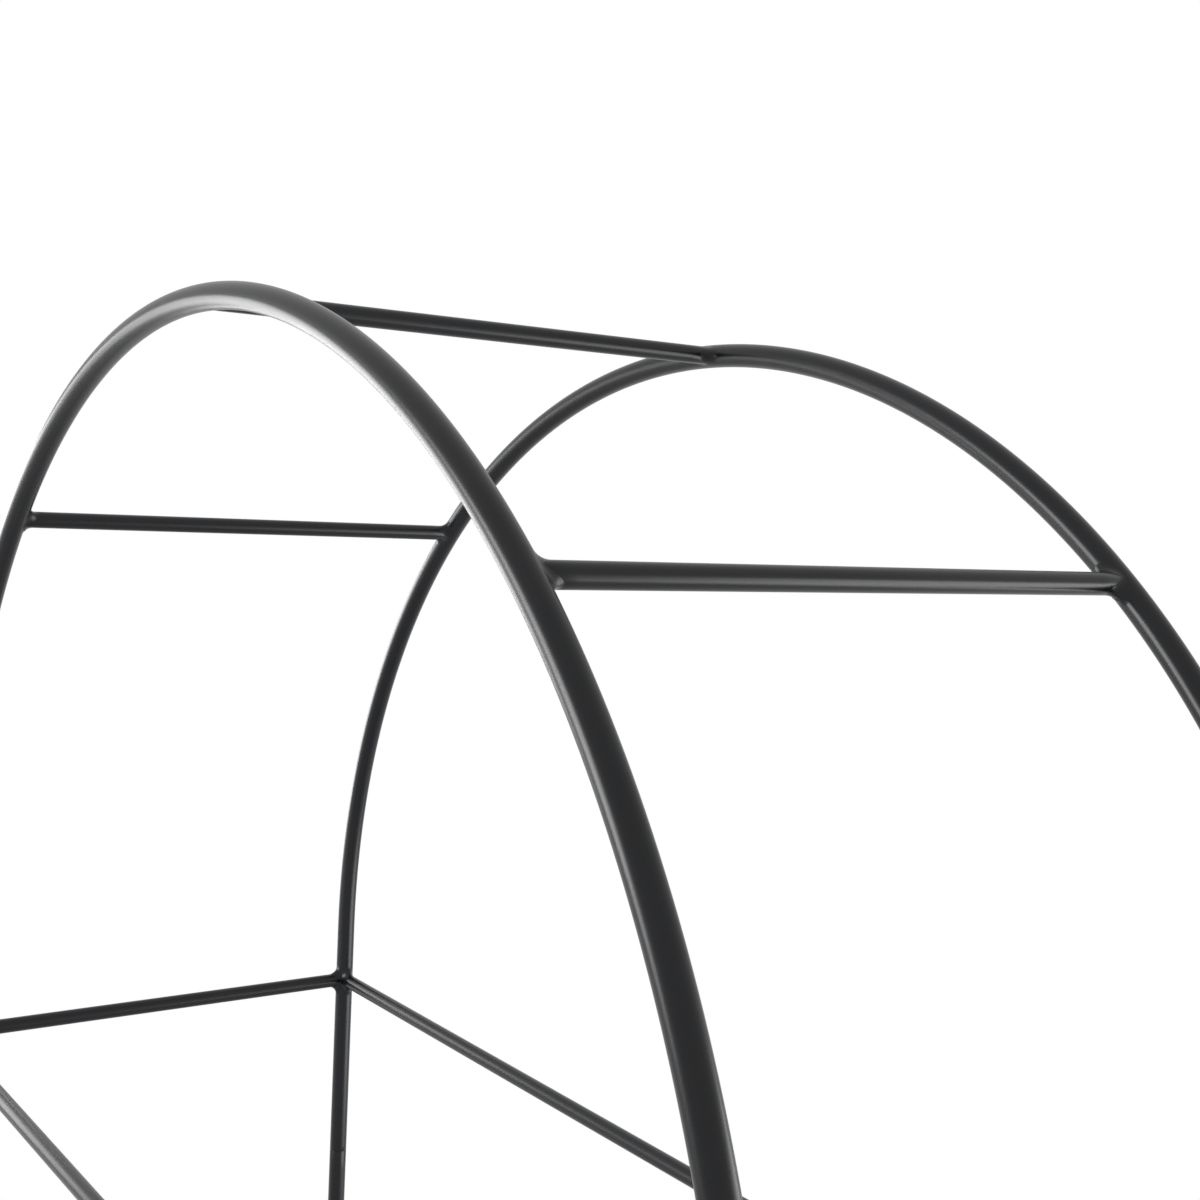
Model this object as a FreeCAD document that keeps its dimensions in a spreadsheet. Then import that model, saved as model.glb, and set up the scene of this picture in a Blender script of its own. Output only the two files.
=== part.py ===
"""Metal trellis arch: two bent tube hoops on four legs, joined by welded rungs, rails and ties.

Frame: millimetres, +Z up, +X across the walkway, +Y from the front hoop to the back hoop.
The origin is on the ground, in the middle between the four feet.
"""
import FreeCAD
import Part
import os

OUT = "parts"
LADDER_RUNGS = 3           # rungs between the two legs of each side
SIDES = (("left", -1), ("right", 1))
ENDS = (("front", -1), ("back", 1))
X_AXIS = FreeCAD.Vector(1, 0, 0)
Y_AXIS = FreeCAD.Vector(0, 1, 0)
Z_AXIS = FreeCAD.Vector(0, 0, 1)
NEAR = 0.001               # millimetres within which two places count as the same
UPRIGHT = 0.999            # an edge this much along Z stands upright

# name, value, what it measures (millimetres, and degrees where it says so)
SIZES = (
    ("hoop_radius", 600, "centreline radius of both hoops"),
    ("depth", 425, "front hoop centreline to back hoop centreline"),
    ("spring_height", 1950, "ground to where the hoops start to bend"),
    ("tail", 250, "straight end of a hoop, down to its joint with the leg"),
    ("shoulder_angle", 42.2, "degrees from the crown rung to a shoulder rung"),
    ("tie_drop", 57.5, "start of the bend down to the side rails and ties"),
    ("rung_pitch", 500, "side rail to the first ladder rung, and on down the legs"),
    ("hoop_tube", 18, "outside diameter of hoops and legs"),
    ("hoop_wall", 1.2, "wall of hoops and legs"),
    ("bar_tube", 14, "outside diameter of rungs, rails and ties"),
    ("bar_wall", 1.0, "wall of rungs, rails and ties"),
    ("bar_weld", 10, "fillet radius of the weld round a rung, rail or tie"),
    ("spigot_gap", 0.15, "all round, between a spigot and the tube it slides in"),
    ("spigot_wall", 1.5, "wall of a spigot"),
    ("spigot_length", 100, "whole spigot, half of it in each tube"),
    ("screw_offset", 25, "joint line to each screw's axis"),
    ("screw_size", 5, "diameter of a screw's shank"),
    ("screw_length", 10, "length under a screw's head"),
    ("screw_clear", 0.25, "all round, between a shank and its holes in the tubes"),
    ("head_size", 9.5, "diameter of a screw's domed head"),
    ("head_height", 2.75, "height of a screw's head"),
    ("head_rim", 0.6, "height of the straight edge of a screw's head"),
    ("socket_flats", 3, "across flats of the hexagon socket in a head"),
    ("socket_depth", 1.6, "depth of that socket"),
    ("nut_flats", 8, "across flats of a nut"),
    ("nut_height", 4, "height of a nut"),
    ("nut_seat_gap", 0.05, "nut's two seated edges to the bore of the spigot"),
    ("plate_side", 80, "side of a square foot plate"),
    ("plate_thick", 4, "thickness of a foot plate"),
    ("plate_corner", 10, "corner radius of a foot plate"),
    ("anchor_pitch", 56, "hole to hole along one side of a foot plate"),
    ("anchor_hole", 9, "diameter of an anchor hole"),
    ("foot_weld", 4, "fillet radius of the weld round a leg's foot"),
)


def make_sheet(doc):
    """The driving dimensions, one to a row: name, value, meaning."""
    sheet = doc.addObject("Spreadsheet::Sheet", "Sizes")
    for row, (name, value, meaning) in enumerate(SIZES, start=1):
        sheet.set(f"A{row}", name)
        sheet.set(f"B{row}", str(value))
        sheet.set(f"C{row}", meaning)
        sheet.setAlias(f"B{row}", name)
    doc.recompute()
    return sheet


def size(name):
    """A sheet cell, as it is written in an expression."""
    return f"Sizes.{name}"


RADIUS = size("hoop_radius")
TUBE_R = f"{size('hoop_tube')} / 2"
TUBE_BORE_R = f"({size('hoop_tube')} / 2 - {size('hoop_wall')})"
BAR_R = f"{size('bar_tube')} / 2"
BAR_BORE_R = f"({size('bar_tube')} / 2 - {size('bar_wall')})"
SPIGOT_R = f"({TUBE_BORE_R} - {size('spigot_gap')})"
SPIGOT_BORE_R = f"({SPIGOT_R} - {size('spigot_wall')})"
RAIL_Z = f"({size('spring_height')} - {size('tie_drop')})"
JOINT_Z = f"({size('spring_height')} - {size('tail')})"
HOLE_R = f"({size('screw_size')} / 2 + {size('screw_clear')})"


def bind(thing, **formulas):
    """Tie properties of an object to the sheet; x, y and z place it."""
    for name, formula in formulas.items():
        path = f"Placement.Base.{name}" if name in ("x", "y", "z") else name
        thing.setExpression(path, str(formula))
    return thing


def turned(thing, axis, degrees):
    thing.Placement = FreeCAD.Placement(FreeCAD.Vector(), FreeCAD.Rotation(axis, degrees))
    return thing


class Arch:
    """The document and the few shapes that the sub-parts share."""

    def __init__(self):
        self.doc = FreeCAD.newDocument("trellis_arch")
        self.sheet = make_sheet(self.doc)
        self.nodes = []
        self.bars = {}         # each rung, rail and tie as a solid round, before its bore

    # ---- small builders -------------------------------------------------------------

    def add(self, kind, label, **formulas):
        thing = self.doc.addObject(kind, label.replace(" ", "_"))
        thing.Label = label
        return bind(thing, **formulas)

    def node(self, thing, name):
        """Name a finished sub-part; its file takes the same name."""
        thing.Label = name
        if thing.Label != name:
            raise RuntimeError(f"the name {name} is taken")
        self.nodes.append(thing)
        return thing

    def cylinder(self, label, axis, radius, length, x=0, y=0, z=0):
        """A round bar along an axis, from its start point."""
        bar = self.add("Part::Cylinder", label)
        if axis == "x":
            turned(bar, Y_AXIS, 90)
        if axis == "y":
            turned(bar, X_AXIS, -90)
        return bind(bar, Radius=radius, Height=length, x=x, y=y, z=z)

    def cut(self, label, base, *tools):
        for number, tool in enumerate(tools, start=1):
            step = self.add("Part::Cut", f"{label} cut {number}")
            step.Base, step.Tool = base, tool
            base = step
        return base

    def fuse(self, label, shapes):
        whole = self.add("Part::MultiFuse", label)
        whole.Shapes = shapes
        whole.Refine = True
        return whole

    def group(self, label, shapes):
        """Separate solids that share one sub-part."""
        whole = self.add("Part::Compound", label + " group")
        whole.Links = shapes
        return whole

    def mirror(self, label, source, axis):
        copy = self.add("Part::Mirroring", label + " mirrored")
        copy.Source = source
        copy.Normal = axis
        return copy

    def four_fold(self, name, shape):
        """A shape at the right front, and its copies in the other three corners."""
        right = self.group(name + " right", [shape, self.mirror(name + " back", shape, Y_AXIS)])
        left = self.mirror(name + " left", right, X_AXIS)
        return self.group(name, [right, left])

    # ---- tubes ----------------------------------------------------------------------

    def hoop_bar(self, label, end, radius):
        """A solid round bar with the shape of a hoop: half a ring on two straight tails."""
        y = f"{end} * {size('depth')} / 2"
        ring = self.add("Part::Torus", label + " ring", Radius1=RADIUS, Radius2=radius)
        ring.Angle3 = 180
        turned(ring, X_AXIS, 90)
        bind(ring, y=y, z=size("spring_height"))
        tails = [
            self.cylinder(f"{label} {side} tail", "z", radius, size("tail"),
                          x=f"{sign} * {RADIUS}", y=y, z=JOINT_Z)
            for side, sign in SIDES
        ]
        return self.fuse(label, [ring] + tails)

    def hoops(self):
        self.hoop_bars = {}
        for end, sign in ENDS:
            bar = self.hoop_bar(f"{end} hoop outside", sign, TUBE_R)
            bore = self.hoop_bar(f"{end} hoop bore", sign, TUBE_BORE_R)
            self.hoop_bars[end] = bar
            holes = [self.screw_hole(end, side, 1) for side, _ in SIDES]
            hoop = self.cut(f"{end} hoop", bar, bore, *holes)
            self.node(hoop, f"{end}_hoop")

    def legs(self):
        self.leg_bars = {}
        for end, y_sign in ENDS:
            for side, x_sign in SIDES:
                name = f"{end}_{side}_leg"
                place = dict(x=f"{x_sign} * {RADIUS}", y=f"{y_sign} * {size('depth')} / 2",
                             z=size("plate_thick"))
                length = f"{JOINT_Z} - {size('plate_thick')}"
                bar = self.cylinder(name + " outside", "z", TUBE_R, length, **place)
                bore = self.cylinder(name + " bore", "z", TUBE_BORE_R, length, **place)
                self.leg_bars[end, side] = bar
                leg = self.cut(name, bar, bore, self.screw_hole(end, side, -1))
                self.node(leg, name)

    def spigots(self):
        for end, y_sign in ENDS:
            for side, x_sign in SIDES:
                name = f"{end}_{side}_spigot"
                place = dict(x=f"{x_sign} * {RADIUS}", y=f"{y_sign} * {size('depth')} / 2",
                             z=f"{JOINT_Z} - {size('spigot_length')} / 2")
                outside = self.cylinder(name + " outside", "z", SPIGOT_R, size("spigot_length"),
                                        **place)
                bore = self.cylinder(name + " bore", "z", SPIGOT_BORE_R, size("spigot_length"),
                                     **place)
                holes = [self.screw_hole(end, side, level) for level in (1, -1)]
                self.node(self.cut(name, outside, bore, *holes), name)

    def screw_hole(self, end, side, level):
        """A drill from a tube's axis outwards, away from the walkway; made once, used twice."""
        label = f"{end} {side} screw hole {'above' if level > 0 else 'below'}"
        made = self.doc.getObjectsByLabel(label)
        if made:
            return made[0]
        drill = self.cylinder(label, "x", HOLE_R, size("hoop_tube"),
                              x=f"{dict(SIDES)[side]} * {RADIUS}",
                              y=f"{dict(ENDS)[end]} * {size('depth')} / 2",
                              z=f"{JOINT_Z} + {level} * {size('screw_offset')}")
        drill.Placement.Rotation = FreeCAD.Rotation(Y_AXIS, 90 * dict(SIDES)[side])
        return drill

    def bar_along_depth(self, name, x, z, hosts):
        """A tube from hoop to hoop, its ends coped to the round of what it meets."""
        start = f"-{size('depth')} / 2"
        outside = self.cylinder(name + " outside", "y", BAR_R, size("depth"), x=x, y=start, z=z)
        bore = self.cylinder(name + " bore", "y", BAR_BORE_R, size("depth"), x=x, y=start, z=z)
        self.node(self.cut(name, outside, bore, *hosts), name)
        self.bars[name] = outside

    def rungs(self):
        hoops = list(self.hoop_bars.values())
        self.bar_along_depth("crown_rung", 0, f"{size('spring_height')} + {RADIUS}", hoops)
        for side, sign in SIDES:
            self.bar_along_depth(
                f"{side}_shoulder_rung",
                f"{sign} * {RADIUS} * sin({size('shoulder_angle')})",
                f"{size('spring_height')} + {RADIUS} * cos({size('shoulder_angle')})", hoops)
            legs = [self.leg_bars[end, side] for end, _ in ENDS]
            for step in range(1, LADDER_RUNGS + 1):
                self.bar_along_depth(f"{side}_ladder_rung_{step}", f"{sign} * {RADIUS}",
                                     f"{RAIL_Z} - {step} * {size('rung_pitch')}", legs)

    def rails_and_ties(self):
        """The level rectangle that holds the hoops apart and stops them from spreading."""
        hoops = list(self.hoop_bars.values())
        for side, sign in SIDES:
            self.bar_along_depth(f"{side}_side_rail", f"{sign} * {RADIUS}", RAIL_Z, hoops)
        rails = [self.bars[f"{side}_side_rail"] for side, _ in SIDES]
        for end, sign in ENDS:
            name = f"{end}_tie"
            place = dict(x=f"-{RADIUS}", y=f"{sign} * {size('depth')} / 2", z=RAIL_Z)
            outside = self.cylinder(name + " outside", "x", BAR_R, f"2 * {RADIUS}", **place)
            bore = self.cylinder(name + " bore", "x", BAR_BORE_R, f"2 * {RADIUS}", **place)
            self.node(self.cut(name, outside, bore, self.hoop_bars[end], *rails), name)
            self.bars[name] = outside

    # ---- welds ----------------------------------------------------------------------

    def primitive(self, body, kind, label, axis=None, degrees=0, **formulas):
        shape = body.newObject("PartDesign::" + kind, label.replace(" ", "_"))
        if axis is not None:
            shape.Placement = FreeCAD.Placement(FreeCAD.Vector(), FreeCAD.Rotation(axis, degrees))
        return bind(shape, **formulas)

    def weld(self, label, tilt="0", **place):
        """The concave bead where a bar that runs along Y ends on a round tube.

        The tube stands along Z and tilts round Y. It is straight, because a hoop bends
        away from it by only a quarter of a millimetre within a bead. Tube and bar are taken
        away once the edge between them has its fillet, which leaves the bead alone.
        """
        body = self.add("PartDesign::Body", label)
        host = dict(Radius=TUBE_R, Height=f"4 * {size('hoop_tube')}",
                    z=f"-2 * {size('hoop_tube')}")
        bar = dict(Radius=BAR_R, Height=f"2 * {size('hoop_tube')}")
        turn = (X_AXIS, -90)
        tube = self.primitive(body, "AdditiveCylinder", label + " tube", **host)
        stub = self.primitive(body, "AdditiveCylinder", label + " stub", *turn, **bar)
        self.doc.recompute()
        self.fillet(body, stub, label, size("bar_weld"), self.on_both(stub))
        self.primitive(body, "SubtractiveCylinder", label + " no stub", *turn, **bar)
        self.primitive(body, "SubtractiveCylinder", label + " no tube", **host)
        # any small turn sets the axis, which the expression for the angle then keeps
        body.Placement.Rotation = FreeCAD.Rotation(Y_AXIS, 1)
        body.setExpression("Placement.Rotation.Angle", tilt)
        return bind(body, **place)

    def on_both(self, stub):
        """Names of the edges where the stub meets the tube."""
        near_stub = self.sheet.bar_tube / 2
        names = []
        for number, edge in enumerate(stub.Shape.Edges, start=1):
            first, last = edge.ParameterRange
            middle = edge.valueAt((first + last) / 2)
            axis = stub.Placement.Rotation.multVec(Z_AXIS)
            offset = middle - stub.Placement.Base
            along = offset.dot(axis)
            away = (offset - axis * along).Length
            if abs(away - near_stub) < NEAR and 0 < along <= self.sheet.hoop_tube / 2 + NEAR:
                names.append(f"Edge{number}")
        return names

    def fillet(self, body, base, label, radius, edges):
        bead = body.newObject("PartDesign::Fillet", (label + " fillet").replace(" ", "_"))
        bead.Base = (base, edges)
        bind(bead, Radius=radius)
        self.doc.recompute()
        return bead

    def four_corners(self, name, shape):
        """A sub-part at the right front, and its twins in the other three corners."""
        back = self.mirror(f"{name} back", shape, Y_AXIS)
        for end, right in (("front", shape), ("back", back)):
            self.node(self.mirror(f"{end} {name} left", right, X_AXIS), f"{end}_left_{name}")
            self.node(right, f"{end}_right_{name}")

    def welds(self):
        front = f"-{size('depth')} / 2"
        spring = size("spring_height")
        turn = size("shoulder_angle")
        crown = self.weld("crown weld", "90", y=front, z=f"{spring} + {RADIUS}")
        self.node(self.mirror("crown weld back", crown, Y_AXIS), "back_crown_weld")
        self.node(crown, "front_crown_weld")
        shoulder = self.weld("shoulder weld", f"90 + {turn}", x=f"{RADIUS} * sin({turn})",
                             y=front, z=f"{spring} + {RADIUS} * cos({turn})")
        self.four_corners("shoulder_weld", shoulder)
        for step in range(1, LADDER_RUNGS + 1):
            weld = self.weld(f"ladder weld {step}", x=RADIUS, y=front,
                             z=f"{RAIL_Z} - {step} * {size('rung_pitch')}")
            self.four_corners(f"ladder_weld_{step}", weld)
        self.four_corners("corner_welds", self.corner_welds(front))

    def corner_welds(self, front):
        """Where a side rail and a tie meet a hoop: the rail is welded first, then the tie."""
        rail = self.weld("rail weld", x=RADIUS, y=front, z=RAIL_Z)
        between = FreeCAD.Vector(1, 1, 0)       # square to the plane halfway from rail to tie
        tie = self.mirror("tie weld", rail, between)
        tie.setExpression("Base.x", RADIUS)
        tie.setExpression("Base.y", front)
        tie = self.cut("tie weld", tie, self.bars["right_side_rail"], rail)
        return self.group("corner welds", [rail, tie])

    # ---- feet and fasteners ---------------------------------------------------------

    def feet(self):
        for end, y_sign in ENDS:
            for side, x_sign in SIDES:
                name = f"{end}_{side}_foot_plate"
                self.node(self.foot_plate(name, x=f"{x_sign} * {RADIUS}",
                                          y=f"{y_sign} * {size('depth')} / 2"), name)
        self.node(self.four_fold("foot_welds", self.foot_weld()), "foot_welds")

    def foot_plate(self, name, **place):
        """A square plate with rounded corners and an anchor hole near each corner."""
        body = self.add("PartDesign::Body", name + " body")
        half = f"-{size('plate_side')} / 2"
        slab = self.primitive(body, "AdditiveBox", name + " slab", Length=size("plate_side"),
                              Width=size("plate_side"), Height=size("plate_thick"), x=half, y=half)
        self.doc.recompute()
        upright = [f"Edge{number}" for number, edge in enumerate(slab.Shape.Edges, start=1)
                   if abs(edge.tangentAt(edge.FirstParameter).dot(Z_AXIS)) > UPRIGHT]
        self.fillet(body, slab, name, size("plate_corner"), upright)
        hole = self.primitive(body, "SubtractiveCylinder", name + " hole",
                              Radius=f"{size('anchor_hole')} / 2", Height=size("plate_thick"),
                              x=f"{size('anchor_pitch')} / 2", y=f"{size('anchor_pitch')} / 2")
        self.doc.recompute()
        pattern = body.newObject("PartDesign::PolarPattern", name.replace(" ", "_") + "_holes")
        pattern.Originals = [hole]
        z_axis = next(f for f in body.Origin.OriginFeatures if f.Role == "Z_Axis")
        pattern.Axis = (z_axis, [""])
        pattern.Angle = 360
        pattern.Occurrences = 4
        body.Tip = pattern
        return bind(body, **place)

    def foot_weld(self):
        """The concave bead between a leg and its foot plate."""
        body = self.add("PartDesign::Body", "foot weld")
        reach = f"({TUBE_R} + 2 * {size('foot_weld')})"
        slab = dict(Radius=reach, Height=size("plate_thick"))
        leg = dict(Radius=TUBE_R, Height=f"3 * {size('foot_weld')}", z=size("plate_thick"))
        self.primitive(body, "AdditiveCylinder", "foot weld slab", **slab)
        stub = self.primitive(body, "AdditiveCylinder", "foot weld leg", **leg)
        self.doc.recompute()
        level = self.sheet.plate_thick
        leg_side = self.sheet.hoop_tube / 2
        edges = [f"Edge{number}" for number, edge in enumerate(stub.Shape.Edges, start=1)
                 if abs(edge.BoundBox.ZMin - level) < NEAR
                 and abs(edge.BoundBox.ZMax - level) < NEAR
                 and edge.BoundBox.XMax < leg_side + NEAR]
        self.fillet(body, stub, "foot weld", size("foot_weld"), edges)
        self.primitive(body, "SubtractiveCylinder", "foot weld no leg", **leg)
        self.primitive(body, "SubtractiveCylinder", "foot weld no slab", **slab)
        return bind(body, x=RADIUS, y=f"-{size('depth')} / 2")

    def screws(self):
        """Domed screws from outside, each into a nut that is held in the spigot."""
        screws, nuts = [], []
        for word, level in (("above", 1), ("below", -1)):
            place = dict(y=f"-{size('depth')} / 2",
                         z=f"{JOINT_Z} + {level} * {size('screw_offset')}")
            screws.append(self.screw(f"screw {word}", **place))
            nuts.append(self.nut(f"nut {word}", **place))
        self.node(self.four_fold("joint_screws", self.group("screw pair", screws)), "joint_screws")
        self.node(self.four_fold("joint_nuts", self.group("nut pair", nuts)), "joint_nuts")

    def screw(self, label, **place):
        seat = f"{RADIUS} + {TUBE_R}"
        rise = f"({size('head_height')} - {size('head_rim')})"
        ball_r = f"((({size('head_size')} / 2) ^ 2 + {rise} ^ 2) / (2 * {rise}))"
        shank = self.cylinder(label + " shank", "x", f"{size('screw_size')} / 2",
                              size("screw_length"), x=f"{seat} - {size('screw_length')}", **place)
        drum = self.cylinder(label + " drum", "x", f"{size('head_size')} / 2",
                             size("head_height"), x=seat, **place)
        ball = self.add("Part::Sphere", label + " ball", Radius=ball_r,
                        x=f"{seat} + {size('head_height')} - {ball_r}", **place)
        dome = self.add("Part::Common", label + " dome")
        dome.Base, dome.Tool = drum, ball
        socket = self.hexagon(label + " socket", size("socket_flats"), size("socket_depth"),
                              x=f"{seat} + {size('head_height')} - {size('socket_depth')}", **place)
        return self.fuse(label, [shank, self.cut(label + " head", dome, socket)])

    def nut(self, label, **place):
        """A hexagon nut, pushed out until two of its edges rest in the spigot's bore."""
        half_width = f"({size('nut_flats')} / 2)"
        face = f"(sqrt({SPIGOT_BORE_R} ^ 2 - {half_width} ^ 2) - {size('nut_seat_gap')})"
        start = f"{RADIUS} + {face} - {size('nut_height')}"
        block = self.hexagon(label + " block", size("nut_flats"), size("nut_height"), x=start, **place)
        hole = self.cylinder(label + " hole", "x", f"{size('screw_size')} / 2", size("nut_height"),
                             x=start, **place)
        return self.cut(label, block, hole)

    def hexagon(self, label, flats, length, **place):
        """A six-sided bar along X with a corner up and a corner down."""
        prism = self.add("Part::Prism", label)
        prism.Polygon = 6
        turned(prism, Y_AXIS, 90)
        return bind(prism, Circumradius=f"{flats} / sqrt(3)", Height=length, **place)


def main():
    arch = Arch()
    arch.hoops()
    arch.legs()
    arch.spigots()
    arch.rungs()
    arch.rails_and_ties()
    arch.welds()
    arch.feet()
    arch.screws()
    arch.doc.recompute()
    os.makedirs(OUT, exist_ok=True)
    for thing in arch.doc.Objects:
        if set(thing.State) & {"Invalid", "Error"}:
            raise RuntimeError(f"{thing.Label} did not build: {thing.State}")
    for thing in arch.nodes:
        if thing.Shape.isNull() or not thing.Shape.isValid():
            raise RuntimeError(f"{thing.Label} has no valid shape")
        thing.Shape.exportStep(os.path.join(OUT, thing.Label + ".step"))


main()
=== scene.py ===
import math
import random

import bmesh
import bpy
from bpy.props import FloatProperty, FloatVectorProperty, IntProperty, PointerProperty
from mathutils import Matrix, Vector


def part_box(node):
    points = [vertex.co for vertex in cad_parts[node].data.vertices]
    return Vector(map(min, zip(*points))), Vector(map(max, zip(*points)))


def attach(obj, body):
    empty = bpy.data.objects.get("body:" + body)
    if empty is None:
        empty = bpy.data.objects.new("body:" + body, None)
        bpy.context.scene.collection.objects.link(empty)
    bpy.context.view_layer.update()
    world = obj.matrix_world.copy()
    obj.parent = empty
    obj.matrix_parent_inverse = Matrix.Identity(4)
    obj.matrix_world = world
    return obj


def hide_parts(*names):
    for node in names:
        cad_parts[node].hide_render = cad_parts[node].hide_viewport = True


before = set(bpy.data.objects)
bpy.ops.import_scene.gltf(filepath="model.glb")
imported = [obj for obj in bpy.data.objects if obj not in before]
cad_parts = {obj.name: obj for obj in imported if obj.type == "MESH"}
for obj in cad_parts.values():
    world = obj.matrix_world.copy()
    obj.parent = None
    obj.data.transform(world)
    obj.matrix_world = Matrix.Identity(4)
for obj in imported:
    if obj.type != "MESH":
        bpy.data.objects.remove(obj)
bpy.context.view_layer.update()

bl_info = {
    "name": "Garden Trellis Arch",
    "version": (1, 0, 0),
    "blender": (4, 5, 0),
    "location": "3D View > Sidebar > Trellis Arch",
    "description": "Tubes, welds, fixings, finishes and studio of a garden trellis arch",
    "category": "Object",
}

BODY = "root"
ENDS = ("front", "back")
SIDES = ("left", "right")
CORNERS = [(end, side) for end in ENDS for side in SIDES]
MM = 0.001


# Measures read from the frame ---------

def middle(node):
    """The middle of a node's box."""
    low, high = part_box(node)
    return (Vector(low) + Vector(high)) / 2


def reach(node):
    """The size of a node's box along each axis."""
    low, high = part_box(node)
    return Vector(high) - Vector(low)


HOOP_SIZE = reach("front_hoop")
TUBE_RADIUS = HOOP_SIZE.y / 2
HOOP_RADIUS = HOOP_SIZE.x / 2 - TUBE_RADIUS
HOOP_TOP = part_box("front_hoop")[1][2]
JOINT_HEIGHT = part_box("front_hoop")[0][2]
SPRING_HEIGHT = HOOP_TOP - TUBE_RADIUS - HOOP_RADIUS
BAR_RADIUS = reach("crown_rung").x / 2
RAIL_HEIGHT = middle("left_side_rail").z
PLATE_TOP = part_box("front_left_foot_plate")[1][2]
SHOULDER = middle("right_shoulder_rung")
SHOULDER_ANGLE = math.atan2(SHOULDER.x, SHOULDER.z - SPRING_HEIGHT)
LADDER_HEIGHTS = [middle(f"left_ladder_rung_{step}").z for step in (1, 2, 3)]


def end_place(end):
    """How far along the depth one hoop stands."""
    return middle(f"{end}_hoop").y


def side_sign(side):
    """Which way across the walkway one side lies."""
    return -1.0 if side == "left" else 1.0


# Settings -----------------------------

def length_setting(name, text, millimetres, **limits):
    """A length, given in millimetres."""
    return FloatProperty(
        name=name,
        description=text,
        default=millimetres * MM,
        subtype="DISTANCE",
        unit="LENGTH",
        **limits,
    )


def share_setting(name, text, value):
    """A number from 0 to 1."""
    return FloatProperty(name=name, description=text, default=value, subtype="FACTOR", min=0, max=1)


def colour_setting(name, text, value):
    """A colour in linear light."""
    return FloatVectorProperty(
        name=name, description=text, default=value, subtype="COLOR", min=0, max=1
    )


def angle_setting(name, text, value):
    """An angle in radians."""
    return FloatProperty(
        name=name, description=text, default=value, subtype="ANGLE", unit="ROTATION"
    )


def power_setting(name, text, watts):
    """A lamp's power in watts."""
    return FloatProperty(name=name, description=text, default=watts, unit="POWER")


# Node trees ---------------------------

class Value:
    """An output socket that can be used in sums."""

    def __init__(self, nodes, socket):
        self.nodes = nodes
        self.socket = socket

    def beside(self, name):
        """Another output of the same node."""
        return Value(self.nodes, self.socket.node.outputs[name])

    def __add__(self, other):
        return self.nodes.math("ADD", self, other)

    __radd__ = __add__

    def __sub__(self, other):
        return self.nodes.math("SUBTRACT", self, other)

    def __mul__(self, other):
        return self.nodes.math("MULTIPLY", self, other)

    def __truediv__(self, other):
        return self.nodes.math("DIVIDE", self, other)


class Nodes:
    """Adds nodes to one tree: settings first, then the values and links of the sockets."""

    def __init__(self, tree):
        self.tree = tree
        tree.nodes.clear()

    def add(self, kind, settings=None, sockets=None, output=0):
        """Add a node and hand back one of its outputs."""
        node = self.tree.nodes.new(kind)
        for name, value in (settings or {}).items():
            if name == "stops":
                self.set_stops(node.color_ramp, value)
            else:
                setattr(node, name, value)
        for name, value in (sockets or {}).items():
            if isinstance(value, Value):
                self.tree.links.new(value.socket, node.inputs[name])
            else:
                node.inputs[name].default_value = value
        return Value(self, node.outputs[output]) if len(node.outputs) else node

    @staticmethod
    def set_stops(ramp, stops):
        """Give a colour ramp its stops, as pairs of place and level."""
        while len(ramp.elements) < len(stops):
            ramp.elements.new(1.0)
        for element, (place, level) in zip(ramp.elements, stops):
            element.position = place
            element.color = (level, level, level, 1.0)

    def math(self, operation, *values):
        """A Math node on numbers and sockets."""
        return self.add("ShaderNodeMath", {"operation": operation}, dict(enumerate(values)))

    def vector(self, operation, *values, output=0):
        """A Vector Math node on vectors and sockets."""
        settings = {"operation": operation}
        return self.add("ShaderNodeVectorMath", settings, dict(enumerate(values)), output)

    def blend(self, factor, first, second):
        """A mix of two colours."""
        sockets = {"Factor": factor, 6: first, 7: second}
        return self.add("ShaderNodeMix", {"data_type": "RGBA"}, sockets, 2)

    def ramp(self, factor, *stops):
        """A level read from a ramp of stops."""
        return self.add("ShaderNodeValToRGB", {"stops": stops}, {"Fac": factor})

    def noise(self, place, scale, detail=2.0, roughness=0.5):
        """Soft cloudy noise."""
        sockets = {"Vector": place, "Scale": scale, "Detail": detail, "Roughness": roughness}
        return self.add("ShaderNodeTexNoise", {"noise_dimensions": "3D"}, sockets)


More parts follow.
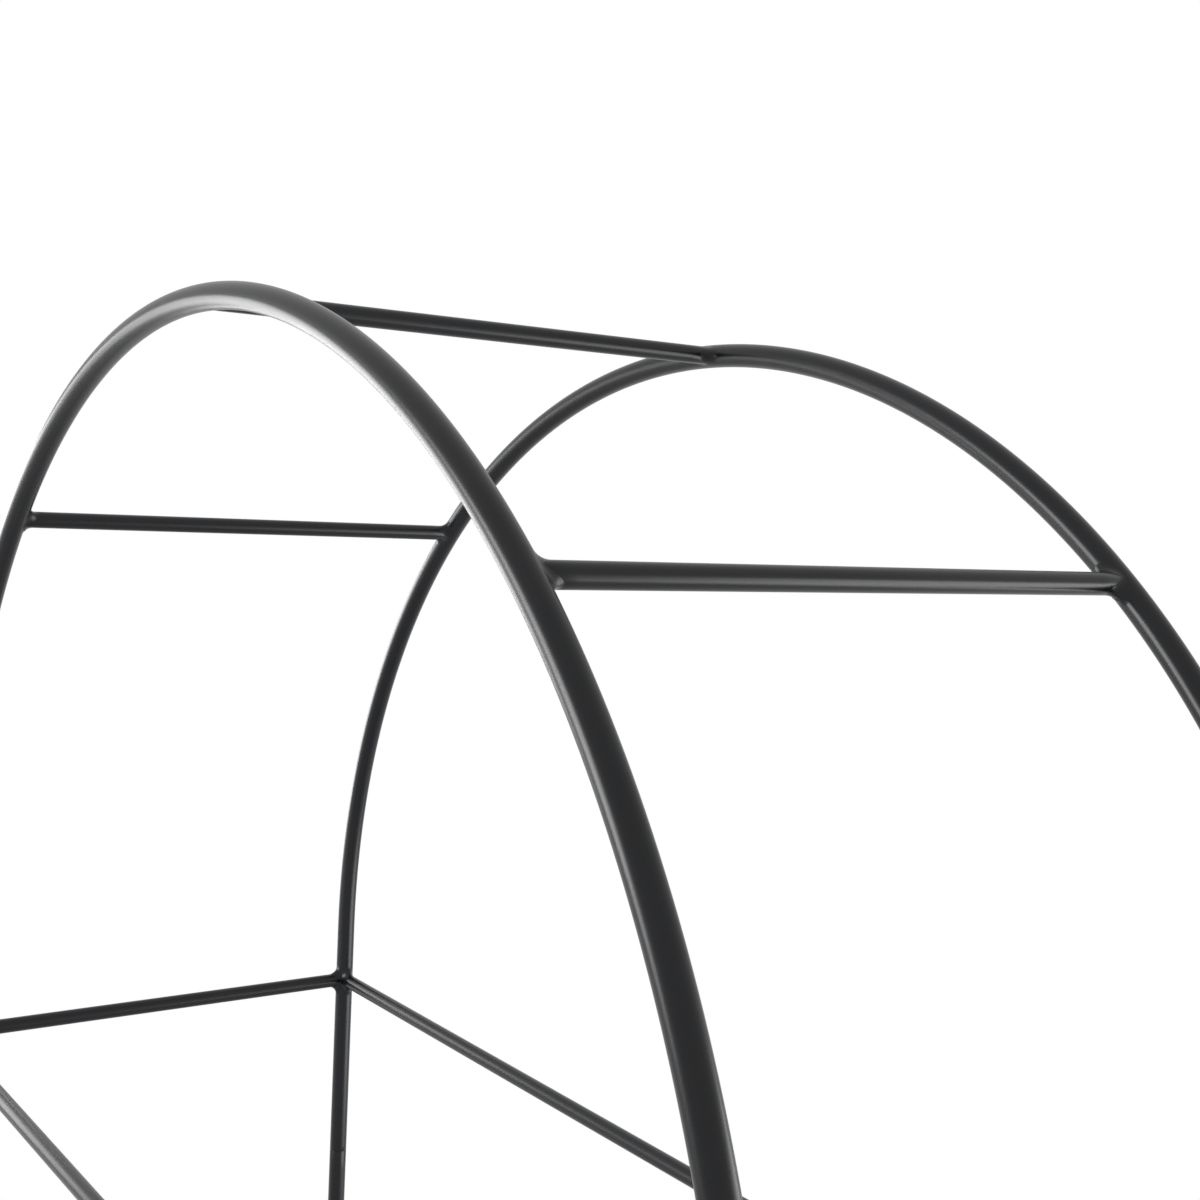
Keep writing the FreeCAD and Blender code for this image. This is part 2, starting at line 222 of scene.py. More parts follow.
class ShapeTree(Nodes):
    """A geometry tree with named inputs, each given with the kind of its socket."""

    def __init__(self, name, **inputs):
        super().__init__(bpy.data.node_groups.new(name, "GeometryNodeTree"))
        new_socket = self.tree.interface.new_socket
        new_socket("Geometry", in_out="INPUT", socket_type="NodeSocketGeometry")
        for label, kind in inputs.items():
            new_socket(label, in_out="INPUT", socket_type=f"NodeSocket{kind}")
        new_socket("Geometry", in_out="OUTPUT", socket_type="NodeSocketGeometry")
        self.given = self.add("NodeGroupInput")

    def named(self, name):
        """One of the tree's inputs."""
        return self.given.beside(name)

    def attribute(self, name, kind="FLOAT"):
        """A value that the points were given."""
        return self.add("GeometryNodeInputNamedAttribute", {"data_type": kind}, {"Name": name})

    def chance(self, low, high, seed):
        """A random number for each point."""
        sockets = {2: low, 3: high, "Seed": seed}
        return self.add("FunctionNodeRandomValue", {"data_type": "FLOAT"}, sockets, 1)

    def aimed(self, axis, vector, **more):
        """A rotation that lays one axis along a vector, and keeps X when it follows another."""
        settings = {"axis": axis, "pivot_axis": "X"} if more else {"axis": axis}
        return self.add("FunctionNodeAlignRotationToVector", settings, {"Vector": vector, **more})

    def ball(self, radius):
        """A small round ball."""
        sockets = {"Radius": radius, "Subdivisions": 2}
        return self.add("GeometryNodeMeshIcoSphere", None, sockets)

    def placed(self, points, instance, **more):
        """A copy of a shape on every point."""
        sockets = {"Points": points, "Instance": instance, **more}
        return self.add("GeometryNodeInstanceOnPoints", None, sockets)

    def resampled(self, curve, mode, sockets):
        """A curve with its points spaced evenly."""
        return self.add("GeometryNodeResampleCurve", {"mode": mode}, {"Curve": curve, **sockets})

    def close(self, geometry):
        """Finish the tree: smooth faces, real meshes, one material."""
        smooth = self.add("GeometryNodeSetShadeSmooth", None, {"Geometry": geometry})
        real = self.add("GeometryNodeRealizeInstances", None, {"Geometry": smooth})
        sockets = {"Geometry": real, "Material": self.named("Material")}
        coated = self.add("GeometryNodeSetMaterial", None, sockets)
        self.add("NodeGroupOutput", None, {"Geometry": coated})
        return self.tree


def linked(name, data):
    """A new object at the origin, in the scene."""
    piece = bpy.data.objects.new(name, data)
    bpy.context.scene.collection.objects.link(piece)
    return piece


def grown(name, tree, values, start=None):
    """Run a geometry tree once and keep what it makes as a plain mesh."""
    piece = linked(name, start or bpy.data.meshes.new(name))
    modifier = piece.modifiers.new("Shape", "NODES")
    modifier.node_group = tree
    for item in tree.interface.items_tree:
        if item.in_out == "INPUT" and item.name in values:
            modifier[item.identifier] = values[item.name]
    graph = bpy.context.evaluated_depsgraph_get()
    mesh = bpy.data.meshes.new_from_object(piece.evaluated_get(graph), depsgraph=graph)
    piece.modifiers.remove(modifier)
    piece.data = mesh
    mesh.name = name
    if not mesh.polygons:
        raise RuntimeError(f"{name} came out empty")
    mesh.materials.clear()
    mesh.materials.append(values["Material"])
    mesh.polygons.foreach_set("material_index", [0] * len(mesh.polygons))
    return piece


def face_out(mesh):
    """Turn a closed mesh so that its faces point outwards."""
    work = bmesh.new()
    work.from_mesh(mesh)
    bmesh.ops.recalc_face_normals(work, faces=work.faces)
    if work.calc_volume(signed=True) < 0:
        bmesh.ops.reverse_faces(work, faces=work.faces)
    work.to_mesh(mesh)
    work.free()


def keep_values(mesh, name, kind, values):
    """Keep a value for each point of a mesh."""
    field = "vector" if kind == "FLOAT_VECTOR" else "value"
    mesh.attributes.new(name, kind, "POINT").data.foreach_set(field, values)


def soften(piece, name, width, segments, degrees):
    """Round the edges of a piece that turn by more than an angle."""
    bevel = piece.modifiers.new(name, "BEVEL")
    bevel.width = width
    bevel.segments = segments
    bevel.limit_method = "ANGLE"
    bevel.angle_limit = math.radians(degrees)


def settle(piece, slot_name, *nodes):
    """Tie a finished piece to the frame."""
    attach(piece, BODY)
    if nodes:
        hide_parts(*nodes)


# Finishes -----------------------------

def new_material(name):
    """An empty material, its tree and the place every pattern is read from."""
    material = bpy.data.materials.new(name)
    material.use_nodes = True
    nodes = Nodes(material.node_tree)
    place = nodes.add("ShaderNodeTexCoord").beside("Object")
    return material, nodes, place


def solid(colour, factor=1.0):
    """A colour for a socket, brighter or darker by a factor."""
    return tuple(channel * factor for channel in colour) + (1.0,)


def shade(nodes, height, sockets):
    """Finish a material with one shader, its surface raised by a height in metres."""
    raised = {"Height": height, "Distance": 1.0, "Strength": 1.0}
    bump = nodes.add("ShaderNodeBump", None, raised)
    shader = nodes.add("ShaderNodeBsdfPrincipled", None, {**sockets, "Normal": bump})
    nodes.add("ShaderNodeOutputMaterial", None, {"Surface": shader})


# Scales are patterns to the metre.
CLOUD_SCALE = 9.0
PATCH_SCALE = 22.0
DUST_SCALE = 1900.0
LUMP_SHARE = 0.22           # scale of the lumps against the orange peel
DUST_COVER = 0.12
STEEL_GRAIN = 0.02 * MM
STEEL_DARK = 0.75


def coat_material(name, finish, peel_depth, lump_depth, gloss_shift):
    """Black powder coat: a fine orange peel, cloudy sheen and faint dust."""
    material, nodes, place = new_material(name)
    clouds = nodes.noise(place, CLOUD_SCALE, 4.0, 0.6)
    peel = nodes.noise(place, finish.peel_scale, 2.0, 0.45)
    lumps = nodes.noise(place, finish.peel_scale * LUMP_SHARE, 1.0, 0.4)
    dust = nodes.ramp(nodes.noise(place, DUST_SCALE, 0.0), (0.66, 0.0), (0.74, 1.0))
    patches = nodes.ramp(nodes.noise(place, PATCH_SCALE, 3.0), (0.45, 0.0), (0.72, 1.0))
    dark, pale = solid(finish.coat_colour), solid(finish.coat_colour, finish.coat_variation)
    body = nodes.blend(clouds, dark, pale)
    colour = nodes.blend(dust * patches * DUST_COVER, body, solid(finish.dust_colour))
    gloss = finish.coat_roughness + gloss_shift - 0.05 + clouds * 0.08 + peel * 0.03 + dust * 0.1
    shade(
        nodes,
        peel * peel_depth + lumps * lump_depth,
        {"Base Color": colour, "Roughness": gloss, "Specular IOR Level": finish.coat_sheen},
    )
    return material


def steel_material(name, colour, roughness, grain_scale, metallic=1.0):
    """Bare or oxided steel with fine grain and worn spots."""
    material, nodes, place = new_material(name)
    grain = nodes.noise(place, grain_scale, 3.0, 0.6)
    spots = nodes.ramp(nodes.noise(place, grain_scale * 0.2, 2.0), (0.4, 0.0), (0.7, 1.0))
    shade(
        nodes,
        grain * STEEL_GRAIN,
        {
            "Base Color": nodes.blend(spots, solid(colour, STEEL_DARK), solid(colour)),
            "Roughness": roughness + grain * 0.12,
            "Metallic": metallic,
        },
    )
    return material


def finish_named(slot_name):
    """The finish of a material slot, made when it is first asked for."""
    name = f"{slot_name}_finish"
    made = bpy.data.materials.get(name)
    if made:
        return made
    finish = bpy.context.scene.trellis_finish
    if slot_name == "powder_coat":
        return coat_material(name, finish, finish.peel_depth, finish.peel_depth * 1.6, 0.0)
    if slot_name == "weld_coat":
        return coat_material(name, finish, finish.peel_depth * 2, finish.peel_depth * 5, 0.03)
    if slot_name == "screw_black":
        return steel_material(name, finish.screw_colour, 0.34, 900.0, 0.85)
    return steel_material(name, finish.zinc_colour, 0.3, 500.0)


# Tubes --------------------------------

TUBE_INPUTS = {"Tube_Radius": "Float", "Sides": "Int", "Steps": "Int", "Material": "Material"}


def tube_round(tree, path):
    """Sweep the tube's circle along a path."""
    sockets = {"Resolution": tree.named("Sides"), "Radius": tree.named("Tube_Radius")}
    circle = tree.add("GeometryNodeCurvePrimitiveCircle", {"mode": "RADIUS"}, sockets)
    sockets = {"Curve": path, "Profile Curve": circle, "Fill Caps": False}
    return tree.add("GeometryNodeCurveToMesh", None, sockets)


def hoop_tree():
    """A round tube that runs up, over half a circle and down again."""
    tree = ShapeTree(
        "Hoop",
        Hoop_Radius="Float",
        Foot_Height="Float",
        Spring_Height="Float",
        Depth_Place="Float",
        **TUBE_INPUTS,
    )
    radius = tree.named("Hoop_Radius")
    spring = tree.named("Spring_Height")
    tail = spring - tree.named("Foot_Height")
    line = tree.add("GeometryNodeCurvePrimitiveLine", None, {"End": (0.0, 0.0, 1.0)})
    points = tree.resampled(line, "COUNT", {"Count": tree.named("Steps")})
    factor = tree.add("GeometryNodeSplineParameter").beside("Factor")
    along = factor * (tail * 2 + radius * math.pi)
    round_part = tree.math("MINIMUM", tree.math("MAXIMUM", along - tail, 0.0), radius * math.pi)
    turn = round_part / radius
    below = tree.math("MAXIMUM", tail - along, 0.0)
    after = tree.math("MAXIMUM", along - tail - radius * math.pi, 0.0)
    sockets = {
        "X": tree.math("COSINE", turn) * radius * -1.0,
        "Y": tree.named("Depth_Place"),
        "Z": spring + tree.math("SINE", turn) * radius - below - after,
    }
    place = tree.add("ShaderNodeCombineXYZ", None, sockets)
    path = tree.add("GeometryNodeSetPosition", None, {"Geometry": points, "Position": place})
    return tree.close(tube_round(tree, path))


def bar_tree():
    """A straight tube between two hosts, its ends coped to their round sides."""
    tree = ShapeTree(
        "Coped_Bar",
        Start="Vector",
        End="Vector",
        Across="Vector",
        Host_Radius="Float",
        **TUBE_INPUTS,
    )
    start = tree.named("Start")
    run = tree.vector("SUBTRACT", tree.named("End"), start)
    length = tree.vector("LENGTH", run, output="Value")
    axis = tree.vector("NORMALIZE", run)
    ends = {"Start": start, "End": tree.named("End")}
    line = tree.add("GeometryNodeCurvePrimitiveLine", None, ends)
    tube = tube_round(tree, tree.resampled(line, "COUNT", {"Count": tree.named("Steps")}))
    place = tree.add("GeometryNodeInputPosition")
    from_start = tree.vector("SUBTRACT", place, start)
    along = tree.vector("DOT_PRODUCT", from_start, axis, output="Value")
    aside = tree.vector("DOT_PRODUCT", from_start, tree.named("Across"), output="Value")
    host = tree.named("Host_Radius")
    depth = tree.math("SQRT", tree.math("MAXIMUM", host * host - aside * aside, 0.0))
    shift = depth - along / length * depth * 2.0
    offset = tree.add("ShaderNodeVectorMath", {"operation": "SCALE"}, {0: axis, "Scale": shift})
    sockets = {"Geometry": tube, "Offset": offset}
    return tree.close(tree.add("GeometryNodeSetPosition", None, sockets))


RING_REACH = 0.03           # wider than any tube, shorter than any bar


def axis_check(mesh):
    """Turn an open tube's faces away from its own axis where they came out inside."""
    face = mesh.polygons[0]
    first = mesh.vertices[face.vertices[0]].co
    ring = [vertex.co for vertex in mesh.vertices if (vertex.co - first).length < RING_REACH]
    heart = sum(ring, Vector()) / len(ring)
    if face.normal.dot(face.center - heart) < 0:
        mesh.flip_normals()


def make_tube(node, tree, radius, wall, steps, values):
    """Grow one tube in place of its frame node, with its wall and its softened rims."""
    tubes = bpy.context.scene.trellis_tubes
    round_values = {
        "Tube_Radius": radius,
        "Sides": tubes.sides,
        "Steps": steps,
        "Material": finish_named("powder_coat"),
    }
    piece = grown(f"{node}_tube", tree, {**values, **round_values})
    face_out(piece.data)
    axis_check(piece.data)
    skin = piece.modifiers.new("Wall", "SOLIDIFY")
    skin.thickness = wall
    skin.offset = -1.0
    soften(piece, "Rims", tubes.rim, 2, 50)
    settle(piece, "powder_coat", node)


COPE_RADIUS = TUBE_RADIUS - 0.2 * MM    # a coped end reaches a little into its host
BAR_STEPS = 24
TIE_STEPS = 64
LEG_STEPS = 90


def make_bar(node, start, end, across, host_radius, radius, wall, steps=BAR_STEPS):
    """One straight tube in place of its frame node."""
    tree = bpy.data.node_groups.get("Coped_Bar") or bar_tree()
    values = {"Start": start, "End": end, "Across": across, "Host_Radius": host_radius}
    make_tube(node, tree, radius, wall, steps, values)


def make_rung(node, x, z, across):
    """One bar from the front tube to the back tube."""
    start = Vector((x, end_place("front"), z))
    end = Vector((x, end_place("back"), z))
    wall = bpy.context.scene.trellis_tubes.bar_wall
    make_bar(node, start, end, across, COPE_RADIUS, BAR_RADIUS, wall)


class TrellisTubes(bpy.types.PropertyGroup):
    """Sizes of the tubes that can be changed without the frame."""

    sides: IntProperty(
        name="Sides", description="Flat sides round each tube", default=56, min=12, max=96
    )
    hoop_step: length_setting("Hoop Step", "Distance between the rings of a hoop", 5, min=1 * MM)
    hoop_wall: length_setting("Hoop Wall", "Wall of the hoop tube and legs", 1.2)
    bar_wall: length_setting("Bar Wall", "Wall of the rungs, rails and ties", 1.0)
    rim: length_setting("Rim", "Softened rim at each cut end", 0.3)


class TRELLIS_OT_hoops(bpy.types.Operator):
    """Bend the front and the back hoop"""

    bl_idname = "trellis.hoops"
    bl_label = "Hoops"

    def execute(self, context):
        tubes = context.scene.trellis_tubes
        run = math.pi * HOOP_RADIUS + 2 * (SPRING_HEIGHT - JOINT_HEIGHT)
        tree = hoop_tree()
        for end in ENDS:
            values = {
                "Hoop_Radius": HOOP_RADIUS,
                "Foot_Height": JOINT_HEIGHT,
                "Spring_Height": SPRING_HEIGHT,
                "Depth_Place": end_place(end),
            }
            steps = int(run / tubes.hoop_step)
            make_tube(f"{end}_hoop", tree, TUBE_RADIUS, tubes.hoop_wall, steps, values)
        return {"FINISHED"}


class TRELLIS_OT_legs(bpy.types.Operator):
    """Stand the four legs under the hoops"""

    bl_idname = "trellis.legs"
    bl_label = "Legs"

    def execute(self, context):
        wall = context.scene.trellis_tubes.hoop_wall
        for end, side in CORNERS:
            node = f"{end}_{side}_leg"
            foot = middle(node)
            foot.z = PLATE_TOP
            top = Vector((foot.x, foot.y, JOINT_HEIGHT))
            make_bar(node, foot, top, (1, 0, 0), 0.0, TUBE_RADIUS, wall, LEG_STEPS)
        return {"FINISHED"}


class TRELLIS_OT_rungs(bpy.types.Operator):
    """Set the rungs between the hoops and between the legs"""

    bl_idname = "trellis.rungs"
    bl_label = "Rungs"

    def execute(self, context):
        places = {"crown_rung": 0.0}
        places.update({f"{side}_shoulder_rung": side_sign(side) * SHOULDER_ANGLE for side in SIDES})
        for node, angle in places.items():
            out, up = math.sin(angle), math.cos(angle)
            make_rung(node, HOOP_RADIUS * out, SPRING_HEIGHT + HOOP_RADIUS * up, (out, 0.0, up))
        for side in SIDES:
            x = side_sign(side) * HOOP_RADIUS
            for step, height in enumerate(LADDER_HEIGHTS, start=1):
                make_rung(f"{side}_ladder_rung_{step}", x, height, (1, 0, 0))
        return {"FINISHED"}


class TRELLIS_OT_rails_and_ties(bpy.types.Operator):
    """Fit the two side rails and the two ties"""

    bl_idname = "trellis.rails_and_ties"
    bl_label = "Side Rails and Ties"

    def execute(self, context):
        wall = context.scene.trellis_tubes.bar_wall
        for side in SIDES:
            make_rung(f"{side}_side_rail", side_sign(side) * HOOP_RADIUS, RAIL_HEIGHT, (1, 0, 0))
        for row in ENDS:
            start = Vector((-HOOP_RADIUS, end_place(row), RAIL_HEIGHT))
            end = Vector((HOOP_RADIUS, end_place(row), RAIL_HEIGHT))
            node = f"{row}_tie"
            make_bar(node, start, end, (0, 1, 0), COPE_RADIUS, BAR_RADIUS, wall, TIE_STEPS)
        return {"FINISHED"}


# Welds --------------------------------

class TrellisWelds(bpy.types.PropertyGroup):
    """Shape of the weld beads."""

    fillet: length_setting("Fillet", "Hollow radius of a finished weld", 10)
    sway: length_setting("Sway", "How far the bead wanders", 0.45)
    ripple_pitch: length_setting("Ripple Pitch", "Distance from ripple to ripple", 1.1)
    ripple_size: length_setting("Ripple Size", "Half the width of one ripple", 1.7)
    spatter_size: length_setting("Spatter Size", "Radius of a large bead of spatter", 0.3)
    spatter_count: IntProperty(
        name="Spatter Count", description="Beads of spatter on one weld", default=8, min=0, max=60
    )
    foot_fillet: length_setting("Foot Fillet", "Leg length of the weld on a foot plate", 4)


DROP_SEED = 7
SPATTER_SPREAD = 1600.0     # one weld's patch fits this often into a square metre
FIRST_WELD_SEED = 11
FOOT_SEED = 401
CREASE = math.radians(50)   # a weld's skin is sharp where it turns by more


def weld_tree():
    """Lay ripples along the loose edges of a bead and scatter spatter on its faces."""
    tree = ShapeTree(
        "Weld_Dressing",
        Ripple_Pitch="Float",
        Ripple_Size="Float",
        Spatter_Size="Float",
        Spatter_Density="Float",
        Seed="Int",
        Material="Material",
    )
    given = tree.named("Geometry")
    faces = tree.add("GeometryNodeInputMeshEdgeNeighbors")
    equal = {"data_type": "INT", "operation": "EQUAL"}
    loose = tree.add("FunctionNodeCompare", equal, {2: faces, 3: 0})
    seam = tree.add("GeometryNodeMeshToCurve", None, {"Mesh": given, "Selection": loose})
    steps = tree.resampled(seam, "LENGTH", {"Length": tree.named("Ripple_Pitch")})
    forward = tree.aimed("X", tree.add("GeometryNodeInputTangent"))
    upright = tree.aimed("Z", tree.attribute("seam_out", "FLOAT_VECTOR"), Rotation=forward)
    jitter = tree.chance(0.85, 1.15, tree.named("Seed"))
    size = tree.named("Ripple_Size") * tree.attribute("seam_width") * jitter
    flat = {"X": size * 0.6, "Y": size, "Z": size * 0.27}
    shape = tree.add("ShaderNodeCombineXYZ", None, flat)
    ripples = tree.placed(steps, tree.ball(1.0), Rotation=upright, Scale=shape)
    edges = {"domain": "EDGE", "mode": "EDGE_FACE"}
    skin = tree.add("GeometryNodeDeleteGeometry", edges, {"Geometry": given, "Selection": loose})
    density = tree.named("Spatter_Density") * tree.attribute("spatter")
    sockets = {"Mesh": skin, "Density": density, "Seed": tree.named("Seed")}
    spread = {"distribute_method": "RANDOM"}
    specks = tree.add("GeometryNodeDistributePointsOnFaces", spread, sockets)
    drop = tree.ball(tree.named("Spatter_Size"))
    drops = tree.placed(specks, drop, Scale=tree.chance(0.25, 1.0, DROP_SEED))
    whole = tree.tree.nodes.new("GeometryNodeJoinGeometry")
    for part in (skin, ripples, drops):
        tree.tree.links.new(part.socket, whole.inputs[0])
    return tree.close(Value(tree, whole.outputs[0]))


class Bead:
    """The skin and seam of one weld, gathered before the mesh is made."""

    ROUND = 96      # sections round a bead
    ARC = 10        # steps across its hollow
    SEAM = 40       # steps along its last pass

    def __init__(self, seed):
        self.random = random.Random(seed)
        self.points = []
        self.faces = []
        self.spatter = []
        self.seams = []

    def wave(self, count, size):
        """A gentle closed wave with a few random bumps."""
        parts = [
            (k, self.random.uniform(-1, 1) / k, self.random.uniform(0, math.tau))
            for k in range(1, count + 1)
        ]
        return lambda angle: size * sum(a * math.sin(k * angle + p) for k, a, p in parts) / 1.6

    def ring(self, sections, level):
        """Skin a closed ring of sections; each section is a closed outline."""
        start = len(self.points)
        size = len(sections[0])
        for section, amount in zip(sections, level):
            self.points.extend(section)
            self.spatter.extend([amount] * size)
        for a in range(len(sections)):
            b = (a + 1) % len(sections)
            for c in range(size):
                d = (c + 1) % size
                here, there = start + a * size, start + b * size
                self.faces.append((here + c, there + c, there + d, here + d))

    def saddle(self, heart, outward, along, sway, bend, low_side, seam_span, seam_size):
        """A hollow weld where a bar leaves a round host.

        heart is on the host's axis, outward is the bar's way, along is the host's way. bend is the
        host's own radius of bend towards its inner side, or 0. low_side is the angle round the bar
        where the bead was laid last, and seam_span how far it runs to each side.
        """
        rb, rh = BAR_RADIUS, TUBE_RADIUS
        fillet = bpy.context.scene.trellis_welds.fillet
        outward = Vector(outward).normalized()
        along = Vector(along).normalized()
        across = along.cross(outward).normalized()
        drift = self.wave(5, sway)
        swell = self.wave(4, sway * 0.7)

        def put(a, y, c):
            if bend:
                c -= a * a / (2 * bend)
            return heart + along * a + outward * y + across * c

        def rolled(angle):
            """The fillet's ball at an angle, and the ways from it to the bar and the host."""
            size = fillet + drift(angle)
            way = rb + size
            x, z = way * math.cos(angle), way * math.sin(angle)
            y = math.sqrt(max((rh + size) ** 2 - z ** 2, 0.0))
            share = rh / (rh + size)
            ball = Vector((x, y, z))
            on_bar = Vector((rb * math.cos(angle), y, rb * math.sin(angle)))
            on_host = Vector((x, y * share, z * share))
            return size, ball, (on_bar - ball).normalized(), (on_host - ball).normalized()

        sections, level = [], []
        for step in range(self.ROUND):
            angle = math.tau * step / self.ROUND
            size, ball, first, last = rolled(angle)
            turn = first.angle(last)
            outline = []
            for k in range(self.ARC + 1):
                t = k / self.ARC
                way = first * math.sin((1 - t) * turn) + last * math.sin(t * turn)
                way = way / math.sin(turn)
                lift = swell(angle) * math.sin(math.pi * t) * 0.5
                if k in (0, self.ARC):
                    lift = -0.06 * MM
                point = ball + way * (size + 0.02 * MM - max(lift, -0.25 * MM))
                outline.append(put(point.x, point.y, point.z))
            root = math.sqrt(rh * rh - (rb * math.sin(angle)) ** 2) - 0.5 * MM
            inside = rb - 0.5 * MM
            outline.append(put(inside * math.cos(angle), root, inside * math.sin(angle)))
            sections.append(outline)
            level.append(max(0.0, math.cos(angle - low_side)) ** 2)
        self.ring(sections, level)
        self.seam_on(rolled, put, (along, outward, across), low_side, seam_span, seam_size)

    def seam_on(self, rolled, put, axes, low_side, span, size):
        """The path of the last pass, low on the fillet near the host."""
        path = []
        wander = self.wave(3, 0.5 * MM)
        for step in range(self.SEAM + 1):
            f = step / self.SEAM
            angle = low_side + (2 * f - 1) * span
            fillet, ball, first, last = rolled(angle)
            way = (first * 0.35 + last * 0.65 + first * wander(angle) / fillet).normalized()
            point = ball + way * (fillet + 0.1 * MM)
            out = axes[0] * -way.x + axes[1] * -way.y + axes[2] * -way.z
            ends = math.sin(math.pi * (0.06 + 0.88 * f)) ** 0.7
            width = size * ends * self.random.uniform(0.9, 1.1)
            path.append((put(point.x, point.y, point.z), out, width))
        self.seams.append((path, False))

    def skirt(self, heart, radius, leg, sway):
        """A ring weld round an upright tube on a flat plate."""
        drift = self.wave(6, sway * 1.3)
        swell = self.wave(7, sway)
        sections, path = [], []
        for step in range(self.ROUND):
            angle = math.tau * step / self.ROUND
            way = Vector((math.cos(angle), math.sin(angle), 0.0))
            size = leg * 0.88 + drift(angle) * 0.5
            outline = []
            for k in range(self.ARC + 1):
                t = k / self.ARC
                out = size * t ** 1.15
                up = size * (1 - t) ** 1.15
                puff = (0.18 * leg + swell(angle)) * math.sin(math.pi * t)
                rise = Vector((0, 0, up + puff * 0.7 - 0.05 * MM))
                outline.append(heart + way * (radius + out + puff * 0.7 - 0.1 * MM) + rise)
            outline.append(heart + way * (radius - 0.5 * MM) + Vector((0, 0, -0.3 * MM)))
            sections.append(outline)
            crest = heart + way * (radius + size * 0.48) + Vector((0, 0, size * 0.48))
            width = 1.0 + self.random.uniform(-0.08, 0.08)
            path.append((crest, (way + Vector((0, 0, 1))).normalized(), width))
        self.ring(sections, [0.5] * self.ROUND)
        self.seams.append((path, True))

    def mesh(self, name):
        """The bead's skin, its seams as loose edges and what dresses them."""
        points, spatter, edges = list(self.points), list(self.spatter), []
        outs, widths = [Vector()] * len(points), [0.0] * len(points)
        for path, closed in self.seams:
            start, count = len(points), len(path)
            for whole, part in zip((points, outs, widths), zip(*path)):
                whole.extend(part)
            spatter.extend([0.0] * count)
            steps = count if closed else count - 1
            edges.extend((start + k, start + (k + 1) % count) for k in range(steps))
        mesh = bpy.data.meshes.new(name)
        mesh.from_pydata(points, edges, self.faces)
        face_out(mesh)
        keep_values(mesh, "seam_out", "FLOAT_VECTOR", [n for out in outs for n in out])
        keep_values(mesh, "seam_width", "FLOAT", widths)
        keep_values(mesh, "spatter", "FLOAT", spatter)
        return mesh


def make_weld(node, bead):
    """Dress a bead with ripples and spatter, in place of its frame node."""
    welds = bpy.context.scene.trellis_welds
    tree = bpy.data.node_groups.get("Weld_Dressing") or weld_tree()
    seed = sum(ord(letter) * (place + 3) for place, letter in enumerate(node)) % 9973
    values = {
        "Ripple_Pitch": welds.ripple_pitch,
        "Ripple_Size": welds.ripple_size,
        "Spatter_Size": welds.spatter_size,
        "Spatter_Density": welds.spatter_count * SPATTER_SPREAD,
        "Seed": seed,
        "Material": finish_named("weld_coat"),
    }
    piece = grown(f"{node}_bead", tree, values, bead.mesh(node))
    piece.data.set_sharp_from_angle(angle=CREASE)
    settle(piece, "weld_coat", node)


class TRELLIS_OT_welds(bpy.types.Operator):
    """Weld the rungs, rails and ties to the tubes"""

    bl_idname = "trellis.welds"
    bl_label = "Welds"

    def execute(self, context):
        seed = FIRST_WELD_SEED
        for end in ENDS:
            inward = Vector((0, 1 if end == "front" else -1, 0))
            seed += 1
            crown = HOOP_TOP - TUBE_RADIUS
            self.weld(f"{end}_crown_weld", seed, end, inward, 0.0, crown, 0.0, True)
            for side in SIDES:
                sign = side_sign(side)
                upright = sign * HOOP_RADIUS
                angle = sign * SHOULDER_ANGLE
                x = HOOP_RADIUS * math.sin(angle)
                z = SPRING_HEIGHT + HOOP_RADIUS * math.cos(angle)
                seed += 1
                self.weld(f"{end}_{side}_shoulder_weld", seed, end, inward, x, z, angle, True)
                for step, height in enumerate(LADDER_HEIGHTS, start=1):
                    seed += 1
                    name = f"{end}_{side}_ladder_weld_{step}"
                    self.weld(name, seed, end, inward, upright, height, math.pi / 2, False)
                seed += 1
                self.corner(f"{end}_{side}_corner_welds", seed, end, inward, sign)
        return {"FINISHED"}

    @staticmethod
    def weld(node, seed, end, inward, x, z, angle, bent):
        """The weld where one bar leaves a hoop or a leg."""
        sway = bpy.context.scene.trellis_welds.sway
        along = Vector((math.cos(angle), 0, -math.sin(angle)))
        across = along.cross(inward)
        outer = Vector((math.sin(angle), 0, math.cos(angle)))
        bend = HOOP_RADIUS * (1 if across.dot(outer) > 0 else -1) if bent else 0.0
        low_side = math.atan2(-across.z, -along.z) if abs(across.z) > 0.01 else 0.0
        lean = -0.5 if end == "front" and x < 0 else 0.5
        bead = Bead(seed)
        heart = Vector((x, end_place(end), z))
        bead.saddle(
            heart, inward, along, sway, bend, low_side + lean, seam_span=1.15, seam_size=0.8
        )
        make_weld(node, bead)

    @staticmethod
    def corner(node, seed, end, inward, sign):
        """The two welds where a rail and a tie leave one hoop tube."""
        sway = bpy.context.scene.trellis_welds.sway * 0.7
        heart = Vector((sign * HOOP_RADIUS, end_place(end), RAIL_HEIGHT))
        bead = Bead(seed)
        for outward in (inward, Vector((-sign, 0, 0))):
            bead.saddle(
                heart, outward, (0, 0, 1), sway, 0.0, math.pi, seam_span=0.9, seam_size=0.6
            )
        make_weld(node, bead)


